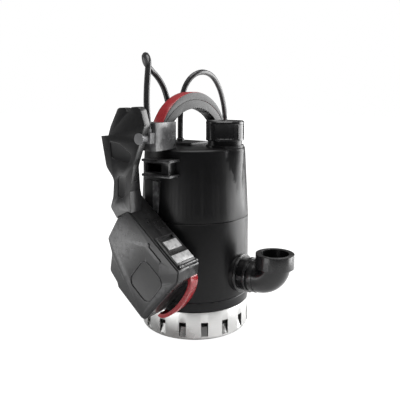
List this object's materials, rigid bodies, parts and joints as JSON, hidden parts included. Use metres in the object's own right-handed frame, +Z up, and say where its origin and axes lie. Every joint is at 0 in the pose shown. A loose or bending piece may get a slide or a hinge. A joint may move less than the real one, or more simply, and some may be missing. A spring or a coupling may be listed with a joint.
{
  "type": "submersible drainage pump",
  "caption": "Submersible drainage pump with a slotted steel strainer foot, swivel elbow outlet, capped top outlet, arched handle and a hinged level switch.",
  "frame": {"origin": "centre of the strainer foot's underside, on the pump axis", "axes": "+Z up along the pump axis, +X towards the side outlet, -Y towards the level switch"},
  "size_m": [0.3667, 0.375, 0.4001],
  "materials": {
    "stainless": "satin",
    "housing_black": "satin",
    "inner_black": "matte",
    "fastener_steel": "satin",
    "impeller_cream": "satin",
    "seal_rubber": "matte",
    "bearing_steel": "polished",
    "rotor_grey": "matte",
    "copper": "satin",
    "motor_alu": "cast",
    "outlet_black": "satin",
    "grip_black": "satin",
    "handle_red": "gloss",
    "bracket_grey": "satin",
    "pivot_grey": "satin",
    "switch_black": "satin",
    "latch_grey": "satin",
    "cable_rubber": "satin",
    "plug_black": "satin",
    "plug_brass": "satin"
  },
  "bodies": {
    "root": {"strainer": "stainless", "base_ring": "housing_black", "inlet_plate": "housing_black", "base_screws": "fastener_steel", "volute": "inner_black", "flap_pin": "fastener_steel", "lower_housing": "housing_black", "seal_cover": "inner_black", "shaft_seal": "seal_rubber", "lower_bearing": "bearing_steel", "stator_core": "rotor_grey", "windings": "copper", "motor_can": "stainless", "upper_bearing": "bearing_steel", "motor_cap": "motor_alu", "capacitor": "impeller_cream", "housing_seal": "seal_rubber", "upper_housing": "housing_black", "deck_plate": "housing_black", "power_gland": "cable_rubber", "switch_gland": "cable_rubber", "outlet_collar": "outlet_black", "handle_grip": "grip_black", "handle_shell": "handle_red", "bracket_box": "bracket_grey", "cable_clip": "switch_black", "side_guide": "switch_black", "pivot_block": "pivot_grey", "pivot_pin": "pivot_grey", "switch_cable": "cable_rubber", "power_cable": "cable_rubber", "power_coil": "cable_rubber", "plug_lead": "cable_rubber", "plug": "plug_black", "plug_pins": "plug_brass"},
    "rotor": {"shaft": "bearing_steel", "rotor_core": "rotor_grey", "impeller": "impeller_cream", "impeller_nut": "fastener_steel"},
    "flap": {"flap_valve": "seal_rubber"},
    "elbow": {"elbow": "outlet_black", "elbow_seal": "seal_rubber"},
    "port_seal": {"cap_seal": "seal_rubber"},
    "port_cap": {"top_cap": "outlet_black"},
    "level_switch": {"switch_arm": "switch_black", "switch_cover": "switch_black", "switch_base": "switch_black", "latch_pin": "fastener_steel", "lower_clip": "switch_black", "grab_hoop": "handle_red", "ball_tube": "impeller_cream", "micro_switch": "inner_black"},
    "latch": {"switch_latch": "latch_grey"},
    "ball": {"steel_ball": "bearing_steel"}
  },
  "joints": [
    {"name": "rotor_spin", "type": "hinge", "parent": "root", "child": "rotor", "pos_m": [0, 0, 0.15], "axis": [0, 0, 1], "continuous": true},
    {"name": "flap_swing", "type": "hinge", "parent": "root", "child": "flap", "pos_m": [0.06224, 0, 0.102], "axis": [0, -1, 0], "range_deg": [0, 50]},
    {"name": "elbow_swivel", "type": "hinge", "parent": "root", "child": "elbow", "pos_m": [0.1, 0, 0.087], "axis": [1, 0, 0], "range_deg": [-90, 90]},
    {"name": "cap_lift", "type": "slide", "parent": "root", "child": "port_seal", "axis": [0, 0, 1], "range_m": [0, 0.007]},
    {"name": "cap_turn", "type": "hinge", "parent": "port_seal", "child": "port_cap", "pos_m": [0.053, 0, 0.29], "axis": [0, 0, 1], "range_deg": [0, 1080]},
    {"name": "switch_swing", "type": "hinge", "parent": "root", "child": "level_switch", "pos_m": [0.004, -0.118, 0.285], "axis": [0, 1, 0], "range_deg": [-10, 70]},
    {"name": "latch_open", "type": "hinge", "parent": "level_switch", "child": "latch", "pos_m": [0.06457, -0.105, 0.12483], "axis": [0, 1, 0], "range_deg": [0, 40]},
    {"name": "ball_roll", "type": "slide", "parent": "level_switch", "child": "ball", "axis": [-0.7771, 0, 0.6293], "range_m": [0, 0.03]}
  ],
  "couplings": [
    {"joint": "cap_lift", "follows": "cap_turn", "m_per_rad": 0.00036749}
  ]
}
